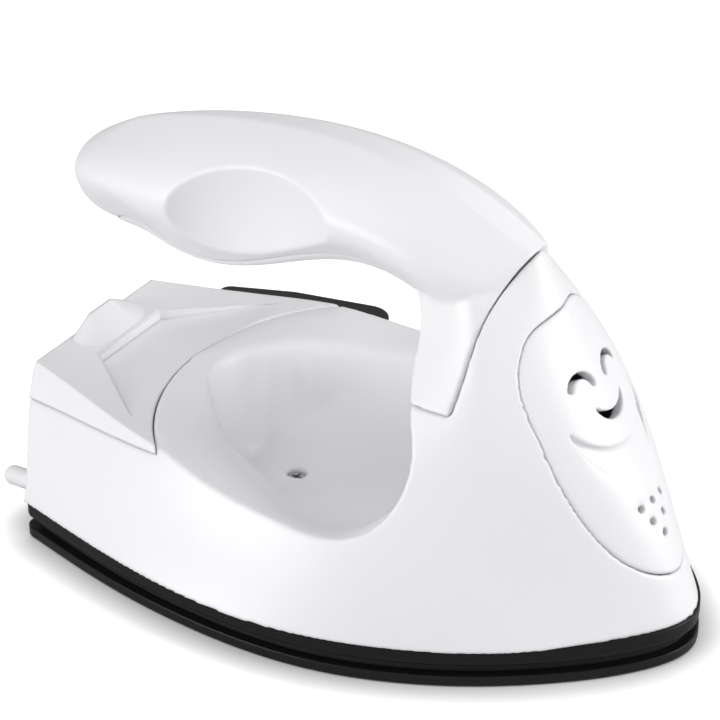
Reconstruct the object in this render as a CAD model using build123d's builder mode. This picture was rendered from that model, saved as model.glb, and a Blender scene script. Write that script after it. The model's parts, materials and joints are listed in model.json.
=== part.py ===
"""Mini handheld heat press: a palm-sized craft iron with a one-piece cantilever handle.

Millimetres. X points forward to the nose, Y to the port side, Z up.
The origin lies on the ironing face, under the middle of the body.
"""
from build123d import *
import os
from math import sqrt

os.makedirs("parts", exist_ok=True)

# ---- driving dimensions -------------------------------------------------
sole_thickness = 1.8
groove_height = 1.5            # shadow groove between sole plate and heat skirt
skirt_height = 2.7
groove_top = sole_thickness + groove_height
foot_z = groove_top + skirt_height          # where the white shell starts
wall = 2.2                     # moulded wall of the shell
seam_gap = 0.2                 # gap between mating mouldings
tail_x = -50.0                 # rear face at deck level
corner_radius = 2.0            # rear corners of the base plates

well_rear_x = -28.5            # rearmost point of the finger well's rim
well_spread = 21.2             # the rim is the parabola y * y = well_spread * (x - well_rear_x)
well_floor_z = 8.3
well_half_width = 30.5
well_lip = 1.4                 # the cutter runs out this far above the deck

handle_foot_z = 37.7           # joint line between shell and handle foot
tail_seam_radius = 36.1
tail_seam_centre_x = 3.8

pin_diameter = 2.4             # two-pin mains inlet, figure-of-eight pattern
pin_pitch = 8.6
socket_x, socket_z = -31.0, 13.4
inlet_top_z = 21.0

peg_diameter = 3.8             # rear pegs that the press parks on
peg_y, peg_z = 20.8, 7.4
peg_shank_radius = 1.3
peg_tip_x = -54.4

tail_cover_low_z = 19.6        # lower edge of the tail cover at the rear face
badge_thickness = 2.2          # measured along X
vent_radius = 0.7              # six small vent holes under the chin
slot_width = 1.2
recess_apex = (44.4, 0, 24.7)  # lowest point of the chin recess, on the nose
recess_tilt = 5.0              # degrees by which the recess floor leans inward
badge_plane = Plane(origin=(40.8, 0, 31.85), x_dir=(0, 1, 0), z_dir=(0.893, 0, 0.450))

rim_width = 2.4                # upright rim of the heat skirt
skirt_floor_z = 4.8
sole_edge_radius = 0.5
skirt_edge_radius = 0.9
groove_depth = 1.5
gasket_width = 4.0
heater_inset = 8.5
heater_rear_x, heater_front_x = -33.0, 31.5
sheet_thickness = 0.5
shield_thickness = 0.4
terminal_x = 15.0              # tabs of the heating element come up through a notch here
terminal_notch = (5, 17)       # length and width
tab_width, tab_thickness, tab_height = 3.0, 0.5, 7.0
window_x, window_length, window_width = 21.5, 19.0, 18.0
cover_screw_seats = (46.5, 51.4)
socket_bottom_y = 20.2
socket_lobe, socket_radius = 3.2, 4.1
pin_root_y, pin_tip_y = 15.4, 27.6
pin_root_radius = 1.5
tail_screw_seat, tail_screw_length = 18.3, 4.0
well_seat_z = 6.6              # the head of the well screw sits this high in the well floor
inlet_screw_sink = 1.3
arm_z, strip_thickness, blade_z = 8.3, 0.4, 10.0
fuse_y, fuse_radius = 5.6, 1.6
fuse_rear_x, fuse_length = 19.0, 8.5
boss_radius = 3.5              # posts that carry the case screws

# Screws: thread radius, head radius, head height.
PLATE_SCREW = (1.25, 2.3, 1.3)
INLET_SCREW = (1.1, 2.2, 1.2)
NOSE_SCREW = (1.1, 2.1, 1.2)
WELL_SCREW = (0.8, 1.4, 1.0)
TAIL_SCREW = (1.0, 2.0, 1.3)
COVER_SCREW = (0.9, 1.9, 0.7)
HANDLE_SCREW = (0.9, 1.9, 1.4)

plate_screw_places = [(36, 0), (-38, 14), (-38, -14)]
plate_boss_radius = 3.0
nose_screw_place = (43, 0)
well_screw_place = (-14.3, 0)
inlet_screw_places = [(-20.3, 25.2), (-41.6, 21.8)]
tail_screw_places = [(-38, 10), (-38, -10)]
cover_screw_places = [(-38, 0), (1.5, 0)]
cover_boss_radius = 2.5
handle_screw_y, handle_screw_z = 3.2, 53.0
handle_seat_x = 14.4           # face that the heads of the handle screws bear on
handle_screw_length = 10.8
INLET_PLAN = [(-44.5, 17.5), (-24, 17.5), (-15, 25.5), (-15, 32.2), (-44.5, 26.6)]
hole_play = 0.2

tip_length = 5.15              # from the last full section to the round end of the handle
slot_rear_x, slot_front_x, slot_half_width = -44.0, 8.0, 7.0
handle_wall = 2.3
cover_thickness = 1.8
dish_centre = (-14.3, 17.9, 55.3)
dish_radii = (16.7, 10.0, 20.0)

thermostat_x, thermostat_y = 27.0, -3.0
pivot_z, pivot_radius = 10.2, 0.6
block_plan, block_height = (8.0, 7.0), 5.0       # ceramic base of the thermostat
cheek_plan, cheek_height = (3.6, 1.2), 3.4       # ears that hold the pivot pin
strip_width = 3.4
arm_front_x, blade_front_x = 24.4, 26.4
pad_radius, pad_gap = 1.0, 0.1                   # silver contact pads
contact_x, strip_rear_x = 18.2, 16.8
wire_radius = 0.7

# Half outline of the badge in its own plane, from top to bottom.
BADGE_HALF = [(0, 21.0), (6.2, 20.2), (10.6, 16.4), (12.6, 8.5), (12.3, -2), (9.6, -12), (5.2, -18.6),
              (0, -21.0)]
# Half outline of the ironing face, from the nose to the rear corner.
SOLE_HALF = [(52.3, 0), (50.9, 4.9), (43.9, 13.7), (35.6, 20.6), (23.5, 27.7), (5.9, 33.0),
             (-10, 33.2), (-28.3, 30.3), (-47.2, 24.9)]

# Plan sections of the shell: height, then half outline from nose to rear corner.
SHELL_SECTIONS = [
    (foot_z, (52.1, 0), (45.3, 11.8), (35.4, 21.3), (20, 29.6), (1, 34.2), (-22, 32.2), (-47.3, 25.2)),
    (18.0, (47.3, 0), (41.8, 11.2), (33.0, 19.1), (19.0, 26.6), (2, 29.8), (-22, 27.6), (-49.8, 19.4)),
    (31.0, (41.0, 0), (37.1, 11.0), (29.1, 17.5), (18.0, 21.2), (4, 22.0), (-20, 20), (-49.3, 11.0)),
    (44.0, (33.4, 0), (29.9, 9.4), (24.6, 13.5), (14.9, 12.2), (3, 9.8), (-14, 8), (-34, 6)),
    (57.3, (25.6, 0), (23.2, 3.6), (19.4, 6.2), (11, 8), (1, 7), (-10, 5.5), (-22, 4)),
]
# Handle sections: x, top z, half width of the flat top, half width, its z, bottom z.
HANDLE_SECTIONS = [
    (-46.0, 59.0, 0.3, 8.7, 52.6, 47.1),
    (-31.0, 64.3, 0.9, 11.7, 52.6, 44.2),
    (-14.0, 67.0, 1.8, 11.7, 54.0, 46.2),
    (2.0, 66.4, 2.4, 10.8, 55.8, 50.2),
    (14.5, 62.8, 2.6, 10.6, 53.0, 46.0),
    (26.0, 57.1, 1.6, 4.2, 49.0, 43.0),
]


def tip_section(reach):
    """Handle section beyond the last full one, closing down like the end of an egg."""
    x, top, flat, width, width_z, bottom = HANDLE_SECTIONS[0]
    closing = sqrt(1 - (reach / tip_length) ** 2)
    above = (top - width_z - 0.38 * reach) * closing
    below = (width_z - bottom - 0.3 * reach) * closing
    half_width = (width - 0.26 * reach) * closing
    return (x - reach, width_z + above, flat * closing, half_width, width_z, width_z - below)


def save(name, shape):
    """Label a finished piece and write it to its own STEP file."""
    shape.label = name
    export_step(shape, f"parts/{name}.step")
    solids = shape.solids()
    print(f"{name:22s} solids {len(solids)}  volume {shape.volume:9.1f}  valid {shape.is_valid}")


def facing_port(x, y, z):
    """Upright plane along the body that faces the port side."""
    return Plane(origin=(x, y, z), x_dir=(1, 0, 0), z_dir=(0, 1, 0))


def facing_nose(x, y, z):
    """Upright plane across the body that faces the nose."""
    return Plane(origin=(x, y, z), x_dir=(0, 1, 0), z_dir=(1, 0, 0))


# ---- master forms ---------------------------------------------------------
def shell_form(inset=0.0):
    """Outer form of the body, or the same form drawn in evenly by inset."""
    with BuildPart() as form:
        for z, *half in SHELL_SECTIONS:
            width = max(y for _, y in half)
            length = (half[0][0] - half[-1][0]) / 2
            middle = (half[0][0] + half[-1][0]) / 2
            shrink_x = 1 - inset / length
            shrink_y = 1 - inset / width
            port = [(middle + (x - middle) * shrink_x, y * shrink_y) for x, y in half]
            starboard = [(x, -y) for x, y in port[:0:-1]]
            with BuildSketch(Plane.XY.offset(z)):
                with BuildLine():
                    side = Spline(*starboard, *port, tangents=[(1, -0.3), (-1, -0.3)])
                    Line(side @ 1, side @ 0)
                make_face()
        loft()
    return form.part


def handle_section(x, top, flat, width, width_z, bottom):
    """Port half of an upright handle section: narrow flat top, full flank, round underside."""
    low = (0.62 * width, bottom + 0.1 * (top - bottom))
    with BuildSketch(facing_nose(x, 0, 0)) as section:
        with BuildLine():
            ridge = Line((0, top), (flat, top))
            flank = Spline(ridge @ 1, (width, width_z), low, (0, bottom), tangents=[(1, -0.45), (-1, 0)])
            Line(flank @ 1, ridge @ 0)
        make_face()
    return section.sketch.face()


def grip_form():
    """Handle from its round tip to where it runs down into the hood."""
    with BuildPart() as form:
        loft([handle_section(*row) for row in HANDLE_SECTIONS])
        loft([handle_section(*tip_section(reach)) for reach in (4.95, 4.4, 3.2, 1.6, 0)])
        mirror(about=Plane.XZ)
    return form.part


def side_prism(*outline, half_width=60):
    """Prism across the body from an outline in side view."""
    with BuildPart() as prism:
        with BuildSketch(Plane.XZ):
            with BuildLine():
                for edge in outline:
                    add(edge)
            make_face()
        extrude(amount=half_width, both=True)
    return prism.part


def open_side_space():
    """Everything above the deck, behind the riser and under the handle."""
    tail = Line((-70, 25.0), (-24, 23.5))
    saddle = Spline(tail @ 1, (-12, 21.8), (0, 20.4), (9, 19.9), (14.8, 22.4), (17.6, 27.8),
                    (17.6, 31.7), (15.6, 36.7), (13.5, 42.3), (12.2, 47.5), (9.5, 51.5),
                    tangents=[(1, -0.03), (-1, 1)])
    over = Polyline(saddle @ 1, (9.5, 80), (-70, 80), tail @ 0)
    return side_prism(tail, saddle, over)


def deck_height(x):
    """Deck line in side view, from the tail down to the saddle and up into the riser."""
    slope = 23.5 - 0.155 * max(x + 24, 0) + 0.0012 * max(x + 24, 0) ** 2
    return slope + 0.13 * max(x - 9, 0) ** 2


def ease(value):
    """Smooth step from 0 to 1."""
    t = min(max(value, 0.0), 1.0)
    return t * t * (3 - 2 * t)


def well_height(x, y):
    """Floor of the finger well: a parabolic rim, steep at the rear, easing off to the sides."""
    run = max(x - well_rear_x, 0.1)
    inward = x - well_rear_x - y * y / well_spread
    half_width = min(sqrt(well_spread * run) + 0.035 * max(run - 14, 0) ** 2, well_half_width)
    across = min((y / half_width) ** 2, 1)
    rear_wall = ease((inward + 0.5) / 6.5)
    side_wall = (1 - across) ** (0.3 + 1.1 * ease((x + 26) / 24))
    front_wall = 1 - ease((x - 5) / 13.5)
    rim = deck_height(x) + well_lip
    return rim - (rim - well_floor_z) * rear_wall * side_wall * front_wall


def finger_well():
    """Cutter for the well: its sculpted floor drawn up through the deck."""
    rows = [
        [Vector(x, y, well_height(x, y)) for y in (2 * i for i in range(-16, 17))]
        for x in (-34 + 2 * i for i in range(28))
    ]
    floor = Face.make_surface_from_array_of_points(rows, tol=0.1)
    cutter = extrude(floor, amount=30, dir=(0, 0, 1), mode=Mode.PRIVATE)
    reach = side_prism(Polyline((-45, 0), (15.5, 0), (17, 27), (12, 34), (-45, 34), (-45, 0)))
    return cutter & reach


body = shell_form()
grip = grip_form()
space = open_side_space()
well = finger_well()

body = body - space - well

# ---- seams between the mouldings ---------------------------------------------
def behind_hood(gap=0.0):
    """Side-view region of the handle: above the foot line and behind the hood's edge."""
    with BuildPart() as region:
        with BuildSketch(Plane.XZ):
            with BuildLine():
                foot = Line((0, handle_foot_z + gap), (21.4 - gap, handle_foot_z + gap))
                hood = Spline(foot @ 1, (22.2 - gap, 45), (23.0 - gap, 51), (26.7 - gap, 58.2 + gap))
                Polyline(hood @ 1, (30, 80), (-70, 80), (-70, handle_foot_z + gap), foot @ 0)
            make_face()
        extrude(amount=60, both=True)
    return region.part


def tail_region(gap=0.0, drop=0.0):
    """Rear end of the deck outside the curved seam, down to the cover's sloping lower edge."""
    lower = tail_cover_low_z + gap - drop
    with BuildPart() as region:
        with BuildSketch(Plane.XY):
            with Locations((-45, 0)):
                Rectangle(60, 80)
            with Locations((tail_seam_centre_x, 0)):
                Circle(tail_seam_radius + gap, mode=Mode.SUBTRACT)
            with Locations((20, 0)):
                Rectangle(80, 90, mode=Mode.SUBTRACT)
        extrude(amount=40)
        with BuildSketch(Plane.XZ):
            Polygon((-75, 60), (-75, lower - 2.3), (-20, lower + 2.9), (-20, 60), align=None)
        extrude(amount=60, both=True, mode=Mode.INTERSECT)
    return region.part


def drawn_in(curve, inset, count):
    """Points along a flat curve, shifted to its right-hand side by inset."""
    points = []
    for step in range(count + 1):
        along = curve % (step / count)
        points.append(curve @ (step / count) + Vector(along.Y, -along.X) * inset)
    return points


def badge_prism(inset=0.0, depth=30):
    """Egg-shaped prism square to the slope of the nose."""
    starboard = [(-x, y) for x, y in BADGE_HALF[-2:0:-1]]
    with BuildPart() as prism:
        with BuildSketch(badge_plane):
            with BuildLine(mode=Mode.PRIVATE):
                egg = Spline(*BADGE_HALF, *starboard, periodic=True)
            with BuildLine():
                Spline(*drawn_in(egg, inset, 16)[:-1], periodic=True)
            make_face()
        extrude(amount=depth, both=True)
    return prism.part


def moved(shape, x=0.0, z=0.0):
    """Copy of a form shifted in the side plane."""
    return Pos(x, 0, z) * shape


def base_outline(z, inset=0.0):
    """Plan of the ironing face: pointed nose, full sides, nearly straight rear."""
    starboard = [(x, -y) for x, y in SOLE_HALF[:0:-1]]
    with BuildSketch(Plane.XY.offset(z)) as outline:
        with BuildLine(mode=Mode.PRIVATE):
            edge = Spline(*starboard, *SOLE_HALF, tangents=[(1, -0.3), (-1, -0.3)])
        with BuildLine():
            side = Spline(*drawn_in(edge, -inset, 20), tangents=[(1, -0.3), (-1, -0.3)])
            Line(side @ 1, side @ 0)
        make_face()
        if inset:
            with Locations((SOLE_HALF[-1][0] + inset + 60, 0)):
                Rectangle(120, 120, mode=Mode.INTERSECT)
        fillet(outline.vertices().sort_by(Axis.X)[:2], corner_radius)
    return outline.sketch


def discs(z, radius, places):
    """Round bosses or holes drawn on a level plane."""
    with BuildSketch(Plane.XY.offset(z)) as plan:
        with Locations(*places):
            Circle(radius)
    return plan.sketch


def inlet_plan(z, grow=0.0):
    """Plan of the inlet block, standing at the port side behind the well."""
    with BuildSketch(Plane.XY.offset(z)) as plan:
        Polygon(*INLET_PLAN, align=None)
        outer = plan.vertices().sort_by(Axis.Y)[-2:]
        fillet(outer.sort_by(Axis.X)[-1], 4)
        fillet(plan.vertices().sort_by(Axis.X)[0:2].sort_by(Axis.Y)[-1], 1.5)
        if grow:
            offset(amount=grow, mode=Mode.REPLACE)
    return plan.sketch


def screw(place, seat_z, tip_z, shank_radius, head_radius, head_height, slot=0.5):
    """Cross-head screw standing on its seat; the tip may lie above or below the head."""
    x, y = place
    up = 1 if tip_z < seat_z else -1
    with BuildPart() as fastener:
        with BuildSketch(Plane.XY.offset(seat_z)):
            with Locations((x, y)):
                Circle(head_radius)
        extrude(amount=up * head_height)
        with BuildSketch(Plane.XY.offset(seat_z)):
            with Locations((x, y)):
                Circle(shank_radius)
        extrude(amount=tip_z - seat_z)
        with BuildSketch(Plane.XY.offset(seat_z + up * head_height)):
            with Locations((x, y)):
                Rectangle(head_radius * 1.3, slot)
                Rectangle(slot, head_radius * 1.3)
        extrude(amount=-up * head_height * 0.55, mode=Mode.SUBTRACT)
    return fastener.part


def wire(points, bend=2.0):
    """Insulated wire swept along straight runs joined by tangent arcs."""
    with BuildPart() as lead:
        with BuildLine() as route:
            FilletPolyline(*points, radius=bend)
        start = route.line @ 0
        with BuildSketch(Plane(origin=start, z_dir=route.line % 0)):
            Circle(wire_radius)
        sweep()
    return lead.part


# ---- sole, seal and heater ----------------------------------------------------
with BuildPart() as sole_plate:
    extrude(base_outline(0), amount=sole_thickness)
    fillet(sole_plate.edges().group_by(Axis.Z)[0], sole_edge_radius)
    extrude(discs(sole_thickness, plate_boss_radius, plate_screw_places), amount=groove_height)
    extrude(discs(groove_top, PLATE_SCREW[0], plate_screw_places), amount=-2.6, mode=Mode.SUBTRACT)
save("sole_plate", sole_plate.part)

with BuildPart() as plate_gasket:
    extrude(base_outline(sole_thickness, groove_depth), amount=groove_height)
    hollow = base_outline(sole_thickness, groove_depth + gasket_width)
    extrude(hollow, amount=groove_height, mode=Mode.SUBTRACT)
save("plate_gasket", plate_gasket.part)


def heater_sheet(z, thickness, notched=True):
    """One flat sheet of the heater stack, cut short of the fixing bosses."""
    length = heater_front_x - heater_rear_x
    with BuildPart() as sheet:
        extrude(base_outline(z, heater_inset), amount=thickness)
        with BuildSketch(Plane.XY.offset(z)):
            with Locations(((heater_front_x + heater_rear_x) / 2, 0)):
                Rectangle(length, 60)
        extrude(amount=thickness, mode=Mode.INTERSECT)
        if notched:
            with BuildSketch(Plane.XY.offset(z)):
                with Locations((terminal_x, 0)):
                    Rectangle(*terminal_notch)
            extrude(amount=thickness, mode=Mode.SUBTRACT)
    return sheet.part


save("heating_element", heater_sheet(sole_thickness, sheet_thickness, notched=False))
save("insulation_pad", heater_sheet(sole_thickness + sheet_thickness, sheet_thickness))
save("heater_clamp_plate", heater_sheet(sole_thickness + 2 * sheet_thickness, sheet_thickness))

with BuildPart() as heat_skirt:
    extrude(base_outline(groove_top), amount=skirt_height)
    fillet(heat_skirt.edges().group_by(Axis.Z)[0], skirt_edge_radius)
    extrude(base_outline(skirt_floor_z, rim_width), amount=foot_z - skirt_floor_z, mode=Mode.SUBTRACT)
    extrude(inlet_plan(skirt_floor_z, grow=-0.2), amount=foot_z - skirt_floor_z)
    extrude(discs(skirt_floor_z, boss_radius, [nose_screw_place]), amount=foot_z - skirt_floor_z)
    extrude(discs(skirt_floor_z, boss_radius, [well_screw_place]), amount=1.0)
    with BuildSketch(Plane.XY.offset(groove_top)):
        with Locations((window_x, 0)):
            RectangleRounded(window_length, window_width, 2)
        with Locations(*plate_screw_places):
            Circle(PLATE_SCREW[0] + hole_play)
        with Locations(nose_screw_place, *inlet_screw_places):
            Circle(NOSE_SCREW[0] + 1.75 * hole_play)
        with Locations(well_screw_place):
            Circle(WELL_SCREW[0])
    extrude(amount=skirt_height, mode=Mode.SUBTRACT)
    extrude(discs(groove_top, INLET_SCREW[1] + hole_play, inlet_screw_places), amount=inlet_screw_sink,
            mode=Mode.SUBTRACT)
save("heat_skirt", heat_skirt.part)

with BuildPart() as heat_shield:
    extrude(base_outline(skirt_floor_z, rim_width + 2.2), amount=shield_thickness)
    with BuildSketch(Plane.XY.offset(skirt_floor_z)):
        with Locations((-20, 0)):
            Rectangle(62, 80)
    extrude(amount=shield_thickness, mode=Mode.INTERSECT)
    extrude(inlet_plan(skirt_floor_z, grow=2 * hole_play), amount=shield_thickness, mode=Mode.SUBTRACT)
    posts = [well_screw_place, *plate_screw_places[1:]]
    cleared = discs(skirt_floor_z, boss_radius + 2 * hole_play, posts)
    extrude(cleared, amount=shield_thickness, mode=Mode.SUBTRACT)
save("heat_shield", heat_shield.part)

with BuildPart() as plate_screws:
    for place in plate_screw_places:
        add(screw(place, skirt_floor_z, 1.9, *PLATE_SCREW))
save("plate_screws", plate_screws.part)

# ---- shell --------------------------------------------------------------------
inner = shell_form(inset=wall + 0.2)
cavity = moved(inner, x=-0.8)
cavity = cavity - moved(space, z=-wall) - moved(space, x=wall, z=-0.5)
cavity = cavity - moved(well, z=-wall) - moved(well, x=-wall, z=-0.5)
cavity = cavity - tail_region(drop=wall)
cavity = cavity - Pos(-20, 0, 57.3) * Box(87, 80, 2 * (57.3 - handle_foot_z + wall))

with BuildPart() as badge_pocket:
    add(badge_prism(depth=9))
    add(body, mode=Mode.INTERSECT)
    add(moved(body, x=-badge_thickness), mode=Mode.SUBTRACT)

with BuildPart() as shell_bosses:
    extrude(discs(foot_z, plate_boss_radius, [nose_screw_place]), amount=10)
    add(moved(body, x=-badge_thickness), mode=Mode.INTERSECT)
with BuildPart() as well_boss:
    post = discs(skirt_floor_z + 1.0, boss_radius, [well_screw_place])
    extrude(post, amount=well_floor_z - skirt_floor_z - 1.2)

with BuildPart() as main_shell:
    add(body)
    add(badge_pocket.part, mode=Mode.SUBTRACT)
    add(behind_hood(gap=-seam_gap / 2), mode=Mode.SUBTRACT)
    add(tail_region(gap=-seam_gap / 2), mode=Mode.SUBTRACT)
    add(cavity, mode=Mode.SUBTRACT)
    add(shell_bosses.part)
    add(well_boss.part)
    with BuildSketch(badge_plane.offset(6)):
        with Locations((3.9, 10.4), (-3.9, 10.4)):
            Circle(3.4)
        with Locations((0, 5.0)):
            Ellipse(4.8, 2.2)
        with Locations((0, -11.8)):
            Circle(4.3)
    extrude(amount=-16, mode=Mode.SUBTRACT)
    extrude(inlet_plan(foot_z, grow=hole_play), amount=inlet_top_z + hole_play - foot_z, mode=Mode.SUBTRACT)
    extrude(discs(foot_z - 0.2, NOSE_SCREW[0], [nose_screw_place]), amount=9, mode=Mode.SUBTRACT)
    well_seat = discs(well_seat_z, WELL_SCREW[1] + hole_play / 2, [well_screw_place])
    extrude(well_seat, amount=6, mode=Mode.SUBTRACT)
    extrude(discs(5, WELL_SCREW[0] + hole_play, [well_screw_place]), amount=6, mode=Mode.SUBTRACT)
    extrude(discs(14, TAIL_SCREW[0] + hole_play, tail_screw_places), amount=12, mode=Mode.SUBTRACT)
    with BuildSketch(Plane.YZ.offset(-52)):
        with Locations((peg_y, peg_z), (-peg_y, peg_z)):
            Circle(peg_shank_radius)
    extrude(amount=7.5, mode=Mode.SUBTRACT)
    with BuildSketch(Plane.YZ.offset(20)):
        with Locations((handle_screw_y, handle_screw_z), (-handle_screw_y, handle_screw_z)):
            Circle(HANDLE_SCREW[0])
    extrude(amount=5.2, mode=Mode.SUBTRACT)
save("main_shell", main_shell.part)

with BuildPart() as tail_ramp:
    with BuildSketch(Plane.YZ.offset(tail_x)):
        Polygon((-7.4, 23), (7.4, 23), (7.4, 24.6), (2.8, 27.0), (-2.8, 27.0), (-7.4, 24.6), align=None)
    with BuildSketch(Plane.YZ.offset(-44.4)):
        Polygon((-8, 22.4), (8, 22.4), (8, 23.7), (3, 23.9), (-3, 23.9), (-8, 23.7), align=None)
    loft()

# Shallow ramp that runs forward from the step and widens to the seam.
with BuildPart() as tail_dip:
    with BuildSketch(Plane.XZ):
        Polygon((-44.6, 22.3), (-44.6, 30), (-29, 30), (-29, 23.75), align=None)
    extrude(amount=40, both=True)
    with BuildSketch(Plane.XY):
        Polygon((-44.6, -8), (-44.6, 8), (-29, 21), (-29, -21), align=None)
    extrude(amount=40, mode=Mode.INTERSECT)

with BuildPart() as tail_cover:
    add(body)
    add(tail_region(gap=seam_gap / 2), mode=Mode.INTERSECT)
    add(tail_dip.part, mode=Mode.SUBTRACT)
    add(tail_ramp.part)
    extrude(discs(14, TAIL_SCREW[0], tail_screw_places), amount=tail_screw_seat + tail_screw_length - 14,
            mode=Mode.SUBTRACT)
save("tail_cover", tail_cover.part)

# The chin recess is deepest under its curved upper edge and runs out to a point below.
tilted_body = body.rotate(Axis(recess_apex, (0, 1, 0)), -recess_tilt)
with BuildPart() as chin_recess:
    with BuildSketch(badge_plane):
        with BuildLine():
            rim = ThreePointArc((-9.3, 6.2), (0, -0.3), (9.3, 6.2))
            Spline(rim @ 1, (6.2, -2.2), (0, -8), tangents=[(-0.1, -1), (-1, -0.75)])
            Spline((0, -8), (-6.2, -2.2), rim @ 0, tangents=[(-1, 0.75), (-0.1, 1)])
        make_face()
    extrude(amount=9, both=True)
    add(tilted_body, mode=Mode.SUBTRACT)

with BuildPart() as front_badge:
    add(badge_prism(inset=seam_gap, depth=9))
    add(body, mode=Mode.INTERSECT)
    add(moved(body, x=-badge_thickness + 0.05), mode=Mode.SUBTRACT)
    add(chin_recess.part, mode=Mode.SUBTRACT)
    with BuildSketch(badge_plane.offset(6)):
        for side in (1, -1):
            with BuildLine(mode=Mode.PRIVATE) as brow:
                ThreePointArc((1.8 * side, 9.7), (3.8 * side, 11.6), (6 * side, 10.5))
            SlotArc(brow.line.edge(), slot_width)
        with BuildLine():
            ThreePointArc((-3.7, 6.9), (0, 3.4), (3.7, 6.9))
            ThreePointArc((-3.7, 6.9), (0, 4.8), (3.7, 6.9))
        make_face()
        with Locations((0, -9.8), (2.9, -9.8), (-2.9, -9.8), (1.6, -12.4), (-1.6, -12.4), (0, -14.9)):
            Circle(vent_radius)
    extrude(amount=-16, mode=Mode.SUBTRACT)
save("front_badge", front_badge.part)

# ---- handle -------------------------------------------------------------------
def handle_slot(inset=0.0):
    """Round-ended opening along the underside of the handle."""
    with BuildPart() as opening:
        with BuildSketch(Plane.XY.offset(30)):
            with Locations(((slot_rear_x + slot_front_x) / 2, 0)):
                SlotOverall(slot_front_x - slot_rear_x - 2 * inset, 2 * (slot_half_width - inset))
        extrude(amount=50)
    return opening.part


# Shallow thumb and finger dishes: flattened balls that bite into the flanks.
thumb_dish = Pos(*dish_centre) * scale(Sphere(1), by=dish_radii)
finger_dish = mirror(thumb_dish, about=Plane.XZ)

slot = handle_slot()
with BuildPart() as cover_bosses:
    extrude(discs(40, cover_boss_radius, cover_screw_places), amount=40)
    add(moved(grip, z=cover_thickness), mode=Mode.INTERSECT)
    add(grip, mode=Mode.INTERSECT)

with BuildPart() as handle_body:
    add(body)
    add(grip)
    add(behind_hood(gap=seam_gap / 2), mode=Mode.INTERSECT)
    add(handle_slot(inset=1.4) & moved(grip, z=-handle_wall), mode=Mode.SUBTRACT)
    add(slot & (grip - moved(grip, z=cover_thickness)), mode=Mode.SUBTRACT)
    add(thumb_dish, mode=Mode.SUBTRACT)
    add(finger_dish, mode=Mode.SUBTRACT)
    add(cover_bosses.part)
    with BuildSketch(Plane.YZ.offset(5)):
        with Locations((handle_screw_y, handle_screw_z), (-handle_screw_y, handle_screw_z)):
            Circle(HANDLE_SCREW[1] + hole_play / 2)
    extrude(amount=handle_seat_x - 5, mode=Mode.SUBTRACT)
    with BuildSketch(Plane.YZ.offset(5)):
        with Locations((handle_screw_y, handle_screw_z), (-handle_screw_y, handle_screw_z)):
            Circle(HANDLE_SCREW[0])
    extrude(amount=22, mode=Mode.SUBTRACT)
    extrude(discs(40, COVER_SCREW[0], cover_screw_places), amount=18.7, mode=Mode.SUBTRACT)
save("handle_body", handle_body.part)

with BuildPart() as handle_underside_cover:
    add(handle_slot(inset=0.15))
    add(grip, mode=Mode.INTERSECT)
    add(moved(grip, z=cover_thickness - 0.1), mode=Mode.SUBTRACT)
    extrude(discs(30, COVER_SCREW[0], cover_screw_places), amount=30, mode=Mode.SUBTRACT)
    for place, seat in zip(cover_screw_places, cover_screw_seats):
        extrude(discs(seat - 6, COVER_SCREW[1], [place]), amount=6, mode=Mode.SUBTRACT)
save("handle_underside_cover", handle_underside_cover.part)

with BuildPart() as handle_screws:
    thread_radius, head_radius, head_height = HANDLE_SCREW
    for y in (handle_screw_y, -handle_screw_y):
        seat = facing_nose(handle_seat_x, y, handle_screw_z)
        with BuildSketch(seat):
            Circle(head_radius)
        extrude(amount=-head_height)
        with BuildSketch(seat):
            Circle(thread_radius)
        extrude(amount=handle_screw_length)
save("handle_screws", handle_screws.part)

with BuildPart() as cover_screws:
    for place, seat in zip(cover_screw_places, cover_screw_seats):
        add(screw(place, seat, seat + 7, *COVER_SCREW))
save("cover_screws", cover_screws.part)

# ---- inlet ----------------------------------------------------------------------
with BuildPart() as inlet_housing:
    extrude(inlet_plan(foot_z), amount=inlet_top_z - foot_z)
    add(tail_region(gap=-0.3), mode=Mode.SUBTRACT)
    with BuildSketch(facing_port(socket_x, socket_bottom_y, socket_z)):
        with Locations((socket_lobe, 0), (-socket_lobe, 0)):
            Circle(socket_radius)
    extrude(amount=20, mode=Mode.SUBTRACT)
    with BuildSketch(facing_port(socket_x, 10, socket_z)):
        with Locations((pin_pitch / 2, 0), (-pin_pitch / 2, 0)):
            Circle(pin_root_radius)
    extrude(amount=socket_bottom_y - 10, mode=Mode.SUBTRACT)
    extrude(discs(foot_z, INLET_SCREW[0], inlet_screw_places), amount=7, mode=Mode.SUBTRACT)
save("inlet_housing", inlet_housing.part)


def inlet_pin(x):
    """Contact pin through the back wall of the socket, with a domed tip."""
    with BuildPart() as pin:
        with BuildSketch(facing_port(x, pin_root_y, socket_z)):
            Circle(pin_root_radius)
        extrude(amount=socket_bottom_y - pin_root_y)
        with BuildSketch(facing_port(x, socket_bottom_y, socket_z)):
            Circle(pin_diameter / 2)
        extrude(amount=pin_tip_y - socket_bottom_y)
        fillet(pin.edges().group_by(Axis.Y)[-1], 0.6)
    return pin.part


live_x = socket_x + pin_pitch / 2
neutral_x = socket_x - pin_pitch / 2
save("inlet_pin_live", inlet_pin(live_x))
save("inlet_pin_neutral", inlet_pin(neutral_x))

with BuildPart() as inlet_screws:
    for place in inlet_screw_places:
        add(screw(place, groove_top + inlet_screw_sink, foot_z + 5, *INLET_SCREW))
save("inlet_screws", inlet_screws.part)

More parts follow.
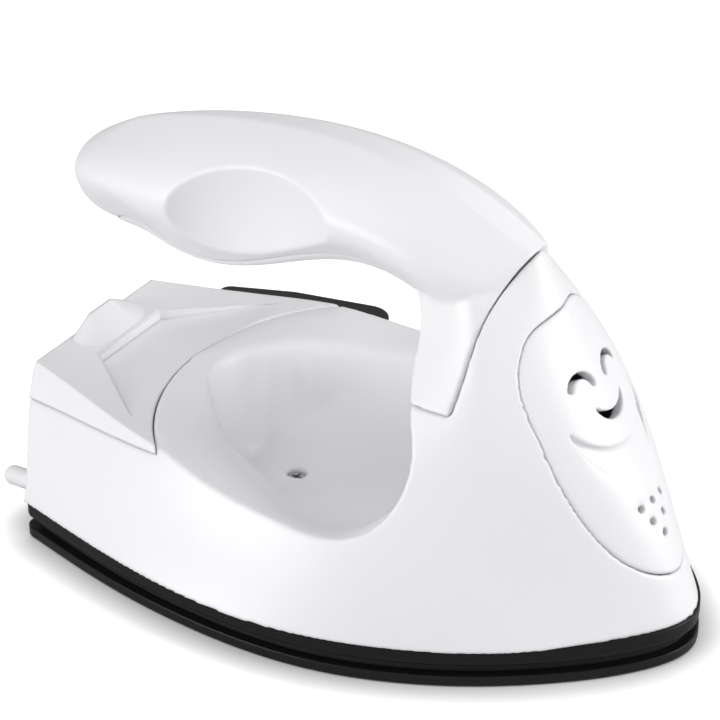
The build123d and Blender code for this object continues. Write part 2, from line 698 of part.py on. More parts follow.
with BuildPart() as heel_feet:
    for side in (1, -1):
        with BuildSketch(facing_nose(peg_tip_x, side * peg_y, peg_z)):
            Circle(peg_diameter / 2)
        extrude(amount=-47.4 - peg_tip_x)
    fillet(heel_feet.edges().group_by(Axis.X)[0], 1.6)
    add(body, mode=Mode.SUBTRACT)
    for side in (1, -1):
        with BuildSketch(facing_nose(peg_tip_x + 3, side * peg_y, peg_z)):
            Circle(peg_shank_radius)
        extrude(amount=6.2)
save("heel_feet", heel_feet.part)

# ---- case screws ----------------------------------------------------------------
save("well_screw", screw(well_screw_place, well_seat_z, 3.5, *WELL_SCREW))
save("nose_screw", screw(nose_screw_place, groove_top, 13.5, *NOSE_SCREW))

with BuildPart() as tail_screws:
    for place in tail_screw_places:
        add(screw(place, tail_screw_seat, tail_screw_seat + tail_screw_length, *TAIL_SCREW))
save("tail_screws", tail_screws.part)

# ---- thermostat ------------------------------------------------------------------
with BuildPart() as thermostat_base:
    with BuildSketch(Plane.XY.offset(groove_top)):
        with Locations((thermostat_x, thermostat_y)):
            Rectangle(*block_plan)
    extrude(amount=block_height)
    cheek_y = (block_plan[1] - cheek_plan[1]) / 2
    with BuildSketch(Plane.XY.offset(groove_top + block_height)):
        with Locations((thermostat_x, thermostat_y + cheek_y), (thermostat_x, thermostat_y - cheek_y)):
            Rectangle(*cheek_plan)
    extrude(amount=cheek_height)
    with BuildSketch(Plane.XZ.offset(-20)):
        with Locations((thermostat_x, pivot_z)):
            Circle(pivot_radius)
    extrude(amount=40, mode=Mode.SUBTRACT)
save("thermostat_base", thermostat_base.part)

with BuildPart() as thermostat_pin:
    with BuildSketch(facing_port(thermostat_x, thermostat_y - 4.2, pivot_z)):
        Circle(pivot_radius)
    extrude(amount=8.0)
save("thermostat_pin", thermostat_pin.part)

with BuildPart() as contact_arm:
    with BuildSketch(Plane.XY.offset(arm_z)):
        with Locations((strip_rear_x, thermostat_y)):
            Rectangle(arm_front_x - strip_rear_x, strip_width, align=(Align.MIN, Align.CENTER))
        with Locations((arm_front_x - 0.7, thermostat_y + strip_width)):
            Rectangle(1.4, 3.6)
    extrude(amount=strip_thickness)
    extrude(discs(arm_z + strip_thickness, pad_radius, [(contact_x, thermostat_y)]), amount=0.7)
save("contact_arm", contact_arm.part)

with BuildPart() as thermostat_blade:
    with BuildSketch(facing_port(thermostat_x, thermostat_y - 2.1, pivot_z)):
        Circle(2 * pivot_radius)
    extrude(amount=4.2)
    with BuildSketch(Plane.XY.offset(blade_z)):
        with Locations((strip_rear_x, thermostat_y)):
            Rectangle(blade_front_x - strip_rear_x, strip_width, align=(Align.MIN, Align.CENTER))
    extrude(amount=strip_thickness)
    with BuildSketch(facing_port(thermostat_x, thermostat_y - 3, pivot_z)):
        Circle(pivot_radius + pad_gap)
    extrude(amount=6, mode=Mode.SUBTRACT)
    pad_z = arm_z + strip_thickness + 0.7 + pad_gap
    extrude(discs(pad_z, pad_radius, [(contact_x, thermostat_y)]), amount=blade_z - pad_z)
save("thermostat_blade", thermostat_blade.part)

with BuildPart() as thermal_fuse:
    with BuildSketch(Plane.YZ.offset(fuse_rear_x)):
        with Locations((fuse_y, groove_top + fuse_radius)):
            Circle(fuse_radius)
    extrude(amount=fuse_length)
    fillet(thermal_fuse.edges(), 0.4)
save("thermal_fuse", thermal_fuse.part)

with BuildPart() as heater_terminals:
    for side in (1, -1):
        with BuildSketch(Plane.XY.offset(sole_thickness + sheet_thickness)):
            with Locations((terminal_x, 6 * side)):
                Rectangle(tab_width, tab_width)
        extrude(amount=tab_thickness)
        with BuildSketch(Plane.XY.offset(sole_thickness + sheet_thickness)):
            with Locations((terminal_x, 7.25 * side)):
                Rectangle(tab_width, tab_thickness)
        extrude(amount=tab_height)
save("heater_terminals", heater_terminals.part)

# ---- wires -----------------------------------------------------------------------
live_z, neutral_z = 7.7, 6.1
save("wire_live", wire([(live_x, 16.2, 11.9), (live_x, 16.2, live_z), (-22, 16.2, live_z), (-13, 22.5, live_z),
                        (0, 24.5, live_z), (11, 21, live_z), (17.5, 13, live_z), (17.5, fuse_y, 4.9),
                        (19, fuse_y, 4.9)], 1.0))
save("wire_neutral", wire([(neutral_x, 16.2, 11.9), (neutral_x, 16.2, neutral_z), (-22, 16.2, neutral_z),
                           (-13, 22.5, neutral_z), (0, 24.5, neutral_z), (9, 20.5, neutral_z),
                           (14.5, 12.5, neutral_z), (14.5, 8.2, neutral_z)], 1.0))
save("wire_link", wire([(27.5, fuse_y, 4.9), (30, fuse_y, 4.9), (30, fuse_y, 9.4), (23.7, fuse_y, 9.4),
                        (23.7, 1.2, 9.4)], 1.0))
save("wire_heater", wire([(thermostat_x, -7.2, pivot_z), (thermostat_x, -9.6, pivot_z), (15, -9.6, 7.5),
                          (15, -7.5, 7.5)], 0.9))
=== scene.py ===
"""Mini handheld heat press: finishes, floor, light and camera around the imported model."""
import json
from math import cos, radians, sin

import bpy
import numpy as np
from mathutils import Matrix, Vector

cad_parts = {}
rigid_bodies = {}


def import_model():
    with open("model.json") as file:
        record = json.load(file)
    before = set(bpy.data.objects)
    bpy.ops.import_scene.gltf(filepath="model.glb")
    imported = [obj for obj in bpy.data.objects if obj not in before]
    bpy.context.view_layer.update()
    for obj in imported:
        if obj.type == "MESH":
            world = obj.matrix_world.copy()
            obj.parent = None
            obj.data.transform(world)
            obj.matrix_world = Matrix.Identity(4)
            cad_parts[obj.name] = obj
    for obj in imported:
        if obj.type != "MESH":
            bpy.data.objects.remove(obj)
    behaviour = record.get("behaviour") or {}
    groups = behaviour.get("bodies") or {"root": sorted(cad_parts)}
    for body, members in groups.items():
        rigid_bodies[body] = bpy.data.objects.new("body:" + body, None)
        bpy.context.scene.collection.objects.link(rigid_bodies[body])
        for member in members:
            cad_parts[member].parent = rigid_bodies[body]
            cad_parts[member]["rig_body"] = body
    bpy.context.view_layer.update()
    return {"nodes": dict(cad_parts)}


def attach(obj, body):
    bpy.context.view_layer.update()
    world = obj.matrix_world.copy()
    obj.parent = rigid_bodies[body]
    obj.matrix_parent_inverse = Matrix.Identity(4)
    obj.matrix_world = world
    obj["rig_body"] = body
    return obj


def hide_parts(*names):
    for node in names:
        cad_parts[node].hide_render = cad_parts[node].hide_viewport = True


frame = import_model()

# ---- Camera -------------------------------------------------------------------
# A long lens looks down on the starboard flank with the nose to the right.
# It aims at the middle of the body, a little below the handle.
mm = 0.001
scene = bpy.context.scene
scene.view_settings.view_transform = "Standard"
aim = Vector((-3.09, 0, 31.26)) * mm
camera_azimuth = 31.16
camera_elevation = 29.69
camera_distance = 427.4 * mm
lens_length = 146.3      # lens and sensor in the camera's own millimetres
sensor_width = 36
near_clip = 10 * mm


def around(target, azimuth, elevation, distance):
    """Point at a bearing and height in degrees from a target; bearing 0 is the starboard side."""
    level = cos(radians(elevation))
    bearing = radians(azimuth)
    way = Vector((sin(bearing) * level, -cos(bearing) * level, sin(radians(elevation))))
    return target + way * distance


def face(thing, spot, target):
    """Stand a camera or lamp at spot, looking at target."""
    thing.location = spot
    thing.rotation_euler = (target - spot).to_track_quat("-Z", "Y").to_euler()


camera_data = bpy.data.cameras.new("camera")
camera_data.lens = lens_length
camera_data.sensor_width = sensor_width
camera_data.clip_start = near_clip
camera = bpy.data.objects.new("camera", camera_data)
face(camera, around(aim, camera_azimuth, camera_elevation, camera_distance), aim)
scene.collection.objects.link(camera)
scene.camera = camera

# ---- Room light -----------------------------------------------------------------
# A white room with a strong soft box off the tail and one off the nose, and weak ones above,
# behind and beside the camera, so the flank is a little dimmer between tail and nose.
# Camera and see-through rays meet plain white.
room_strength = 0.3
box_distance, box_width, box_height = 0.9, 0.5, 0.6
soft_boxes = [
    # name, azimuth, elevation, watts
    ("tail_box", -30, 3, 5.7),
    ("nose_box", 112, 18, 5.6),
    ("high_tail_box", -30, 48, 1.7),
    ("port_box", 170, 35, 1.1),
    ("top_box", -20, 80, 0.8),
    ("camera_box", 31, 24, 0.7),
]
world = bpy.data.worlds.new("white_room")
scene.world = world
world.use_nodes = True
world_nodes = world.node_tree.nodes
world_link = world.node_tree.links.new
room_white = world_nodes["Background"]
path = world_nodes.new("ShaderNodeLightPath")
seen = world_nodes.new("ShaderNodeMath")
seen.operation = "MAXIMUM"
room_level = world_nodes.new("ShaderNodeMapRange")
room_level.inputs["To Min"].default_value = room_strength
room_level.inputs["To Max"].default_value = 1.0
room_white.inputs["Color"].default_value = (1, 1, 1, 1)
world_link(path.outputs["Is Camera Ray"], seen.inputs[0])
world_link(path.outputs["Is Transmission Ray"], seen.inputs[1])
world_link(seen.outputs[0], room_level.inputs["Value"])
world_link(room_level.outputs["Result"], room_white.inputs["Strength"])


def soft_box(name, azimuth, elevation, watts):
    """Rectangular lamp that faces the body."""
    data = bpy.data.lights.new(name, "AREA")
    data.shape = "RECTANGLE"
    data.size = box_width
    data.size_y = box_height
    data.energy = watts
    light = bpy.data.objects.new(name, data)
    face(light, around(aim, azimuth, elevation, box_distance), aim)
    scene.collection.objects.link(light)


for name, azimuth, elevation, watts in soft_boxes:
    soft_box(name, azimuth, elevation, watts)

# ---- Floor ----------------------------------------------------------------------
# A broad white sheet that the press stands on. Its matt part takes the real light and shadow. To the
# camera it also glows, enough to read as plain white, and ambient occlusion dims that glow close to the
# press's foot, in a short soft painted shadow.
floor_half = 3.0
painted_shadow_reach = 7 * mm
painted_shadow_power = 2.5      # how steeply the painted shadow fades out from the foot
painted_shadow_samples = 8
floor_white = (0.62, 0.62, 0.63)
floor_glow_strength = 0.75
floor_mesh = bpy.data.meshes.new("floor")
corners = [(-1, -1), (1, -1), (1, 1), (-1, 1)]
floor_mesh.from_pydata([(x * floor_half, y * floor_half, 0) for x, y in corners], [], [(0, 1, 2, 3)])
floor = bpy.data.objects.new("floor", floor_mesh)
scene.collection.objects.link(floor)


def new_material(name, mesh=None):
    """Material with an empty node tree and its output node."""
    material = bpy.data.materials.new(name)
    material.use_nodes = True
    tree = material.node_tree
    tree.nodes.clear()
    out = tree.nodes.new("ShaderNodeOutputMaterial")
    if mesh:
        mesh.materials.append(material)
    return material, tree, out


def add_node(tree, kind, operation=None, **values):
    """Node with its unlinked inputs set by name."""
    node = tree.nodes.new("ShaderNode" + kind)
    if operation:
        node.operation = operation
    for socket, value in values.items():
        node.inputs[socket.replace("_", " ")].default_value = value
    return node


_, tree, out = new_material("floor_paint", floor_mesh)
link = tree.links.new
floor_matt = add_node(tree, "BsdfDiffuse", Color=(*floor_white, 1))
floor_path = add_node(tree, "LightPath")
# Painted shadow: ambient occlusion near the press dims the glow that camera rays see.
painted_shadow_occlusion = add_node(tree, "AmbientOcclusion", Distance=painted_shadow_reach)
painted_shadow_occlusion.samples = painted_shadow_samples
painted_shadow_fade = add_node(tree, "Math", "POWER")
painted_shadow_fade.inputs[1].default_value = painted_shadow_power
floor_glow_level = add_node(tree, "Math", "MULTIPLY")
floor_glow_share = add_node(tree, "Math", "MULTIPLY")
floor_glow_share.inputs[1].default_value = floor_glow_strength
floor_glow = add_node(tree, "Emission")
floor_sum = add_node(tree, "AddShader")
link(painted_shadow_occlusion.outputs["AO"], painted_shadow_fade.inputs[0])
link(painted_shadow_fade.outputs[0], floor_glow_level.inputs[0])
# The glow is seen by camera rays only, so the darkening near the foot is painted shade, not shadow from
# a lamp.
link(floor_path.outputs["Is Camera Ray"], floor_glow_level.inputs[1])
link(floor_glow_level.outputs[0], floor_glow_share.inputs[0])
link(floor_glow_share.outputs[0], floor_glow.inputs["Strength"])
link(floor_matt.outputs[0], floor_sum.inputs[0])
link(floor_glow.outputs[0], floor_sum.inputs[1])
link(floor_sum.outputs[0], out.inputs["Surface"])

# ---- Ironing plate ----------------------------------------------------------------
# Cast aluminium, ground flat and sprayed all over with a dark non-stick coat.
# The coat is satin, with a fine speckle of mica in it and a little more gloss on the face.


def group_socket(group, name, kind, out=False):
    """Named socket on a shader node group."""
    kinds = {"color": "NodeSocketColor", "number": "NodeSocketFloat"}
    way = "OUTPUT" if out else "INPUT"
    group.interface.new_socket(name=name, in_out=way, socket_type=kinds[kind])


def new_group(name, given, made):
    """Empty node group with named inputs and outputs, each a pair of name and kind."""
    group = bpy.data.node_groups.new(name, "ShaderNodeTree")
    for socket, kind in given:
        group_socket(group, socket, kind)
    for socket, kind in made:
        group_socket(group, socket, kind, out=True)
    return group, group.nodes.new("NodeGroupInput"), group.nodes.new("NodeGroupOutput")


def skin_group():
    """Skin of a moulded, sprayed or rolled piece: cloudy tint and sheen, and a fine grain."""
    group, given, made = new_group(
        "fine_skin",
        [("Color", "color"), ("Roughness", "number"), ("Cloud Scale", "number"),
         ("Grain Scale", "number"), ("Drift", "number")],
        [("Color", "color"), ("Roughness", "number"), ("Height", "number")])
    link = group.links.new
    place = add_node(group, "TexCoord")
    grain = add_node(group, "TexNoise", Detail=3)
    cloud = add_node(group, "TexNoise", Detail=2)
    centred = add_node(group, "Math", "SUBTRACT")
    centred.inputs[1].default_value = 0.5
    swing = add_node(group, "Math", "MULTIPLY")
    bright = add_node(group, "Math", "ADD")
    bright.inputs[1].default_value = 1.0
    tint = add_node(group, "HueSaturation")
    sheen = add_node(group, "Math", "ADD")
    link(place.outputs["Object"], grain.inputs["Vector"])
    link(place.outputs["Object"], cloud.inputs["Vector"])
    link(given.outputs["Grain Scale"], grain.inputs["Scale"])
    link(given.outputs["Cloud Scale"], cloud.inputs["Scale"])
    link(cloud.outputs["Fac"], centred.inputs[0])
    link(centred.outputs[0], swing.inputs[0])
    link(given.outputs["Drift"], swing.inputs[1])
    link(swing.outputs[0], bright.inputs[0])
    link(bright.outputs[0], tint.inputs["Value"])
    link(given.outputs["Color"], tint.inputs["Color"])
    link(given.outputs["Roughness"], sheen.inputs[0])
    link(swing.outputs[0], sheen.inputs[1])
    link(tint.outputs["Color"], made.inputs["Color"])
    link(sheen.outputs[0], made.inputs["Roughness"])
    link(grain.outputs["Fac"], made.inputs["Height"])
    return group


fine_skin = skin_group()
bevel_samples = 6
grain_strength = 0.35


def skinned(name, color, roughness, clouds, grain, grain_depth, drift, edge_radius,
            metallic=0.0, specular=0.5):
    """Plastic, coat or metal with the fine skin and softly rounded edges.

    clouds and grain are scales, and drift is how far the clouds shift the tint and the sheen.
    """
    material, tree, out = new_material(name)
    link = tree.links.new
    shader = add_node(tree, "BsdfPrincipled", Metallic=metallic, Specular_IOR_Level=specular)
    skin = add_node(tree, "Group")
    skin.node_tree = fine_skin
    skin.inputs["Color"].default_value = (*color, 1)
    skin.inputs["Roughness"].default_value = roughness
    skin.inputs["Cloud Scale"].default_value = clouds
    skin.inputs["Grain Scale"].default_value = grain
    skin.inputs["Drift"].default_value = drift
    rounded = add_node(tree, "Bevel", Radius=edge_radius)
    rounded.samples = bevel_samples
    bump = add_node(tree, "Bump", Strength=grain_strength, Distance=grain_depth)
    link(skin.outputs["Color"], shader.inputs["Base Color"])
    link(skin.outputs["Roughness"], shader.inputs["Roughness"])
    link(skin.outputs["Height"], bump.inputs["Height"])
    link(rounded.outputs["Normal"], bump.inputs["Normal"])
    link(bump.outputs["Normal"], shader.inputs["Normal"])
    link(shader.outputs[0], out.inputs["Surface"])
    return material


def dress(material, *nodes):
    """Give CAD nodes their finish."""
    for node in nodes:
        mesh = frame["nodes"][node].data
        mesh.materials.clear()
        mesh.materials.append(material)
        for polygon in mesh.polygons:
            polygon.material_index = 0


non_stick_coat = skinned("non_stick_coat", (0.006, 0.006, 0.007), roughness=0.34, clouds=90, grain=5200,
                         grain_depth=0.02 * mm, drift=0.08, edge_radius=0.4 * mm, specular=0.3)
dress(non_stick_coat, "sole_plate")

# ---- Plate seal ---------------------------------------------------------------------
# Flat ring of black silicone, pressed into the groove between the plate and the skirt.
# It is matt and slightly dusty.
silicone = skinned("silicone", (0.006, 0.006, 0.006), roughness=0.72, clouds=120, grain=2600,
                   grain_depth=0.04 * mm, drift=0.06, edge_radius=0.3 * mm)
dress(silicone, "plate_gasket")

# ---- Heater ---------------------------------------------------------------------------
# A foil track between two amber films lies on the plate, under a sheet of mica board and
# an aluminium clamp plate, with an aluminium heat shield above the floor of the skirt.
# Three zinc-plated screws hold the plate.
foil_pitch = 2.2 * mm
waves_per_unit = 20      # bands of a wave texture at scale 1, in one metre
film_amber, foil_grey = (0.42, 0.2, 0.035), (0.36, 0.33, 0.28)
film_end, foil_start = 0.46, 0.54      # where the tint turns, within one band
amber_film, tree, out = new_material("amber_film")
link = tree.links.new
place = add_node(tree, "TexCoord")
track = add_node(tree, "TexWave", Scale=1 / (foil_pitch * waves_per_unit), Distortion=0.0)
track.bands_direction = "Y"
track_edge = add_node(tree, "ValToRGB")
film_stop, foil_stop = track_edge.color_ramp.elements
film_stop.position, film_stop.color = film_end, (*film_amber, 1)
foil_stop.position, foil_stop.color = foil_start, (*foil_grey, 1)
film = add_node(tree, "BsdfPrincipled", Roughness=0.25, Coat_Weight=0.5)
link(place.outputs["Object"], track.inputs["Vector"])
link(track.outputs["Fac"], track_edge.inputs["Fac"])
link(track_edge.outputs["Color"], film.inputs["Base Color"])
link(film.outputs[0], out.inputs["Surface"])
dress(amber_film, "heating_element")
mica_board = skinned("mica_board", (0.6, 0.56, 0.47), roughness=0.5, clouds=420, grain=1800,
                     grain_depth=0.05 * mm, drift=0.3, edge_radius=0.1 * mm)
dress(mica_board, "insulation_pad")
mill_aluminium = skinned("mill_aluminium", (0.72, 0.73, 0.75), roughness=0.32, clouds=160, grain=3800,
                         grain_depth=0.02 * mm, drift=0.12, edge_radius=0.1 * mm, metallic=1.0)
dress(mill_aluminium, "heater_clamp_plate", "heat_shield")
zinc_plate = skinned("zinc_plate", (0.56, 0.57, 0.6), roughness=0.28, clouds=500, grain=6000,
                     grain_depth=0.01 * mm, drift=0.15, edge_radius=0.15 * mm, metallic=1.0)
dress(zinc_plate, "plate_screws")

# ---- Heat skirt -------------------------------------------------------------------------
# Black heat-resistant moulding that carries the shell and hides the heater.
# Its rim has a satin skin and small round edges that catch the light.
skirt_black = skinned("skirt_black", (0.005, 0.005, 0.0055), roughness=0.36, clouds=70, grain=4200,
                      grain_depth=0.02 * mm, drift=0.05, edge_radius=0.6 * mm, specular=0.25)
dress(skirt_black, "heat_skirt")

# ---- Thermostat and fuse -------------------------------------------------------------------
# A glazed ceramic block carries a fixed brass arm and a spring-steel blade on a pin, with
# silver contacts between them; the thermal fuse is a tinned can and the tabs are brass.
glazed_ceramic = skinned("glazed_ceramic", (0.78, 0.75, 0.67), roughness=0.18, clouds=260, grain=2400,
                         grain_depth=0.02 * mm, drift=0.05, edge_radius=0.3 * mm)
plain_brass = skinned("plain_brass", (0.72, 0.5, 0.2), roughness=0.26, clouds=380, grain=5200,
                      grain_depth=0.01 * mm, drift=0.14, edge_radius=0.15 * mm, metallic=1.0)
spring_steel = skinned("spring_steel", (0.5, 0.5, 0.52), roughness=0.22, clouds=300, grain=5600,
                       grain_depth=0.01 * mm, drift=0.1, edge_radius=0.1 * mm, metallic=1.0)
tinned_can = skinned("tinned_can", (0.66, 0.65, 0.62), roughness=0.3, clouds=240, grain=4000,
                     grain_depth=0.02 * mm, drift=0.1, edge_radius=0.2 * mm, metallic=1.0)
dress(glazed_ceramic, "thermostat_base")
dress(plain_brass, "contact_arm", "heater_terminals")
dress(spring_steel, "thermostat_blade", "thermostat_pin")
dress(tinned_can, "thermal_fuse")

# ---- Wires ---------------------------------------------------------------------------------
# Stranded wire in a woven glass-fibre sleeve, laid round the floor of the skirt.
# The sleeve is varnished cream, with the weave standing a little proud.
weave_pitch = 0.5 * mm
sleeve_dark, sleeve_light = (0.5, 0.46, 0.37), (0.72, 0.68, 0.58)
mix_factor, mix_first, mix_second, mix_result = 0, 6, 7, 2      # a colour Mix node's own sockets
sleeve, tree, out = new_material("glass_fibre_sleeve")
link = tree.links.new
place = add_node(tree, "TexCoord")
strands = [add_node(tree, "TexWave", Scale=1 / (weave_pitch * waves_per_unit)) for _ in range(2)]
strands[0].bands_direction = "DIAGONAL"
strands[1].bands_direction = "Z"
crossing = add_node(tree, "Math", "MAXIMUM")
sleeve_tint = add_node(tree, "Mix")
sleeve_tint.data_type = "RGBA"
sleeve_tint.inputs[mix_first].default_value = (*sleeve_dark, 1)
sleeve_tint.inputs[mix_second].default_value = (*sleeve_light, 1)
weave_bump = add_node(tree, "Bump", Strength=0.5, Distance=0.05 * mm)
varnish = add_node(tree, "BsdfPrincipled", Roughness=0.5)
for index, strand in enumerate(strands):
    link(place.outputs["Object"], strand.inputs["Vector"])
    link(strand.outputs["Fac"], crossing.inputs[index])
link(crossing.outputs[0], sleeve_tint.inputs[mix_factor])
link(crossing.outputs[0], weave_bump.inputs["Height"])
link(sleeve_tint.outputs[mix_result], varnish.inputs["Base Color"])
link(weave_bump.outputs["Normal"], varnish.inputs["Normal"])
link(varnish.outputs[0], out.inputs["Surface"])
dress(sleeve, "wire_live", "wire_neutral", "wire_link", "wire_heater")

# ---- Mains inlet ------------------------------------------------------------------------------
# Black block with a figure-of-eight socket on the port side, held from below by two screws.
# Its two pins are nickel-plated brass with a faint warm tone.
inlet_black = skinned("inlet_black", (0.01, 0.01, 0.011), roughness=0.38, clouds=80, grain=3600,
                      grain_depth=0.03 * mm, drift=0.05, edge_radius=0.5 * mm)
pin_nickel = skinned("pin_nickel", (0.66, 0.6, 0.48), roughness=0.2, clouds=420, grain=5600,
                     grain_depth=0.01 * mm, drift=0.08, edge_radius=0.2 * mm, metallic=1.0)
dress(inlet_black, "inlet_housing")
dress(pin_nickel, "inlet_pin_live", "inlet_pin_neutral")
dress(zinc_plate, "inlet_screws")

# ---- Main shell ---------------------------------------------------------------------------------
# Injection-moulded in the white ABS that all the case parts share: a fine satin skin, a faint
# cloudiness in the sheen and small round edges. The starboard and front rims of the finger well
# flow softly into the deck, and its port rim is only a little rounded.
white_abs = skinned("white_abs", (0.86, 0.862, 0.88), roughness=0.34, clouds=55, grain=5200,
                    grain_depth=0.02 * mm, drift=0.02, edge_radius=0.6 * mm)
shell_grid = 0.24 * mm
shell_rounds, well_rounds, rim_rounds = 6, 600, 60
even_pull, full_pull = 0.5, 0.9      # how far a point goes to its neighbours' mean in one round
# From here on, the values of a sculpted piece are in millimetres.
well_rear_x, well_front_x = -32, 17
well_floor_z, well_top_z = 8.5, 26
deck_foot_z = 19
bowl_slope, deck_slope = 0.25, 0.8   # least upward part of the normal in the bowl and on the deck
deck_edge, floor_edge = 2.5, 3       # widths over which the softening sets in
port_limit_y, starboard_limit_y, soft_rear_x = -2, -7, -24
side_blend = 8
station_rear_x, station_count = -35, 60      # stations 1 mm apart, for the deck's half width


def ease(value):
    """Smooth step from 0 to 1."""
    t = np.clip(value, 0, 1)
    return t * t * (3 - 2 * t)


def relax(points, edges, weight, rounds):
    """Ease each weighted point towards the mean of its neighbours, like scraping clay."""
    moving = weight > 0.01
    near = edges[moving[edges].any(axis=1)]
    one, two = near.T
    size = len(points)
    share = (weight / np.maximum(np.bincount(near.ravel(), minlength=size), 1))[:, None]
    used = np.unique(near)
    for _ in range(rounds):
        total = np.stack([np.bincount(one, points[two, axis], size)
                          + np.bincount(two, points[one, axis], size)
                          for axis in range(3)], axis=1)
        points[used] += total[used] * share[used] - points[used] * weight[used, None]
    return points


def relax_all(points, edges, rounds):
    """Take the steps of the grid out of a whole piece."""
    return relax(points, edges, np.full(len(points), even_pull), rounds)


def recast(node, voxel, sculpt, material):
    """Even mesh over a CAD moulding, with its soft forms worked in by sculpt, in mm."""
    solid = frame["nodes"][node]
    piece = bpy.data.objects.new(node + "_skin", solid.data.copy())
    scene.collection.objects.link(piece)
    grid = piece.modifiers.new("grid", "REMESH")
    grid.mode = "VOXEL"
    grid.voxel_size = voxel
    graph = bpy.context.evaluated_depsgraph_get()
    mesh = bpy.data.meshes.new_from_object(piece.evaluated_get(graph))
    piece.modifiers.clear()
    piece.data = mesh
    points = np.empty(len(mesh.vertices) * 3)
    normals = np.empty(len(mesh.vertices) * 3)
    edges = np.empty(len(mesh.edges) * 2, dtype=int)
    mesh.vertices.foreach_get("co", points)
    mesh.vertices.foreach_get("normal", normals)
    mesh.edges.foreach_get("vertices", edges)
    points = sculpt(points.reshape(-1, 3) / mm, normals.reshape(-1, 3), edges.reshape(-1, 2))
    mesh.vertices.foreach_set("co", (points * mm).ravel())
    mesh.polygons.foreach_set("use_smooth", [True] * len(mesh.polygons))
    mesh.materials.clear()
    mesh.materials.append(material)
    mesh.update()
    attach(piece, solid["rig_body"])
    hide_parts(node)


def sculpt_shell(points, normals, edges):
    """Soften the rims of the finger well inside the deck's edge."""
    points = relax_all(points, edges, shell_rounds)
    x, y, z = points.T
    upward = normals[:, 2]
    bowl = (upward > bowl_slope) & (z > well_floor_z) & (z < well_top_z)
    bowl = bowl & (x > well_rear_x) & (x < well_front_x)
    station = np.clip(np.round(x).astype(int) - station_rear_x, 0, station_count - 1)
    deck_half = np.zeros(station_count)
    deck = bowl & (upward > deck_slope) & (z > deck_foot_z)
    np.maximum.at(deck_half, station[deck], np.abs(y[deck]))
    inside = bowl * ease((deck_half[station] - np.abs(y)) / deck_edge)
    inside = inside * ease((z - well_floor_z) / floor_edge)
    starboard = full_pull * inside * ease((-y + starboard_limit_y) / side_blend)
    starboard = starboard * ease((x - soft_rear_x) / side_blend)
    points = relax(points, edges, starboard, well_rounds)
    port = full_pull * inside * ease((y - port_limit_y) / side_blend)
    return relax(points, edges, port, rim_rounds)


recast("main_shell", shell_grid, sculpt_shell, white_abs)

# ---- Tail cover -----------------------------------------------------------------------------------
# Stepped cover behind the well, of the same white ABS.
# It keeps its crisp moulded facets.
dress(white_abs, "tail_cover")

# ---- Handle ---------------------------------------------------------------------------------------
# A body and an underside cover that close on each other. The tip is round like the end of an
# egg, and the underside sags a little towards it.
handle_grid, cover_grid = 0.3 * mm, 0.25 * mm
handle_rounds, cover_rounds, tip_rounds = 2, 2, 250
tip_x, tip_blend, tip_stretch = -41, 7, 0.12
sag, sag_x, sag_blend = 1.3, -35, 8
sag_top_z, sag_depth = 53.5, 5


def lower_tip(points):
    """Let the underside of the handle sag towards its tip."""
    x, y, z = points.T
    points[:, 2] -= sag * ease((sag_x - x) / sag_blend) * ease((sag_top_z - z) / sag_depth)
    return points


def sculpt_handle(points, normals, edges):
    """Round the tip of the handle and draw it out a little."""
    points = relax_all(points, edges, handle_rounds)
    points = relax(points, edges, full_pull * ease((tip_x - points[:, 0]) / tip_blend), tip_rounds)
    points[:, 0] += tip_stretch * np.minimum(points[:, 0] - tip_x, 0)
    return lower_tip(points)


def sculpt_cover(points, normals, edges):
    """The cover follows the underside of the tip."""
    return lower_tip(relax_all(points, edges, cover_rounds))


recast("handle_body", handle_grid, sculpt_handle, white_abs)
recast("handle_underside_cover", cover_grid, sculpt_cover, white_abs)

# ---- Front badge ------------------------------------------------------------------------------------
# Oval plate let into the nose, with two arched slots over a crescent, a shallow chin recess with
# soft edges, and six vent holes in a triangle. Places on it are across and up the plate's face.
badge_grid = 0.16 * mm
badge_rounds, recess_rounds = 3, 60
recess_foot_z, recess_top_z, recess_half, recess_blend = 20, 32.5, 11.5, 2
forward_slope = 0.3      # least forward part of the normal on the plate's face
badge_centre, badge_up, badge_level = (40.8, 0, 31.85), (-0.45, 0, 0.893), (0, 1.0, 0)
brow_y, brow_half, brow_top, brow_drop, brow_lean, brow_points = 3.9, 2.1, 11.55, 1.9, 0.15, 15
brow_reach, brow_keep = 1.5, 0.7
vent_places = [(0, -9.8), (2.9, -9.8), (-2.9, -9.8), (1.6, -12.4), (-1.6, -12.4), (0, -14.9)]
vent_reach, vent_keep = 1.3, 0.62


def pinch(flat, centres, reach, keep):
    """Draw points in the badge plane towards the nearest of some centres."""
    apart = np.linalg.norm(flat[:, None] - centres[None], axis=2)
    nearest = centres[apart.argmin(axis=1)]
    factor = keep + (1 - keep) * ease(apart.min(axis=1) / reach)
    return nearest + (flat - nearest) * factor[:, None]


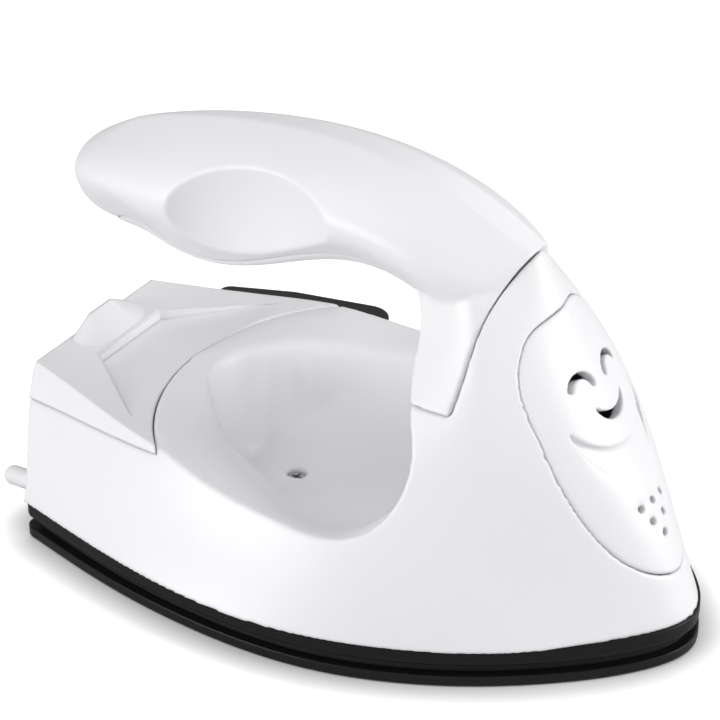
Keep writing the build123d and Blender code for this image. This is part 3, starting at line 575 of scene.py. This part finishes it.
def sculpt_badge(points, normals, edges):
    """Ease the edges of the chin recess, and draw in the slots and vent holes."""
    points = relax_all(points, edges, badge_rounds)
    x, y, z = points.T
    recess = (normals[:, 0] > forward_slope) * ease((recess_top_z - z) / recess_blend)
    recess = recess * ease((z - recess_foot_z) / recess_blend)
    recess = recess * ease((recess_half - np.abs(y)) / recess_blend)
    points = relax(points, edges, full_pull * recess, recess_rounds)
    up, level = np.array(badge_up), np.array(badge_level)
    offset = points - np.array(badge_centre)
    before = np.stack([offset @ level, offset @ up], axis=1)
    flat = before
    turn = np.linspace(-1, 1, brow_points)
    for side in (1, -1):
        brow = np.stack([side * (brow_y + brow_half * turn),
                         brow_top - brow_drop * (turn - brow_lean) ** 2], axis=1)
        flat = pinch(flat, brow, brow_reach, brow_keep)
    flat = pinch(flat, np.array(vent_places), vent_reach, vent_keep)
    shift = flat - before
    return points + shift[:, :1] * level + shift[:, 1:] * up


recast("front_badge", badge_grid, sculpt_badge, white_abs)

# ---- Heel pegs ------------------------------------------------------------------------------------
# Two soft pale pegs at the foot of the rear wall, which the press parks against.
# They are slim, with round ends that hang slightly below their roots.
peg_grid = 0.2 * mm
peg_rounds = 2
peg_root_x, peg_y, peg_z, peg_blend = -47.4, 20.8, 7.4, 1.0
peg_length_share, peg_slimming, peg_drop = 0.87, 0.2, 0.6
peg_rubber = skinned("peg_rubber", (0.8, 0.8, 0.81), roughness=0.55, clouds=140, grain=3000,
                     grain_depth=0.03 * mm, drift=0.04, edge_radius=0.4 * mm)


def sculpt_pegs(points, normals, edges):
    """Slim the pegs and set their round ends close to the wall."""
    x, y, z = points.T
    out = ease((peg_root_x - x) / peg_blend)
    axis_y = np.sign(y) * peg_y
    points[:, 0] = np.where(x < peg_root_x, peg_root_x + (x - peg_root_x) * peg_length_share, x)
    points[:, 1] += (axis_y - y) * peg_slimming * out
    points[:, 2] += (peg_z - z) * peg_slimming * out - peg_drop * out
    return relax_all(points, edges, peg_rounds)


recast("heel_feet", peg_grid, sculpt_pegs, peg_rubber)

# ---- Case screws ------------------------------------------------------------------------------------
# Small zinc-plated cross-head screws hold the handle, its cover, the tail and the shell.
# Their heads sit below the surface of the mouldings.
dress(zinc_plate, "handle_screws", "cover_screws", "tail_screws", "well_screw", "nose_screw")
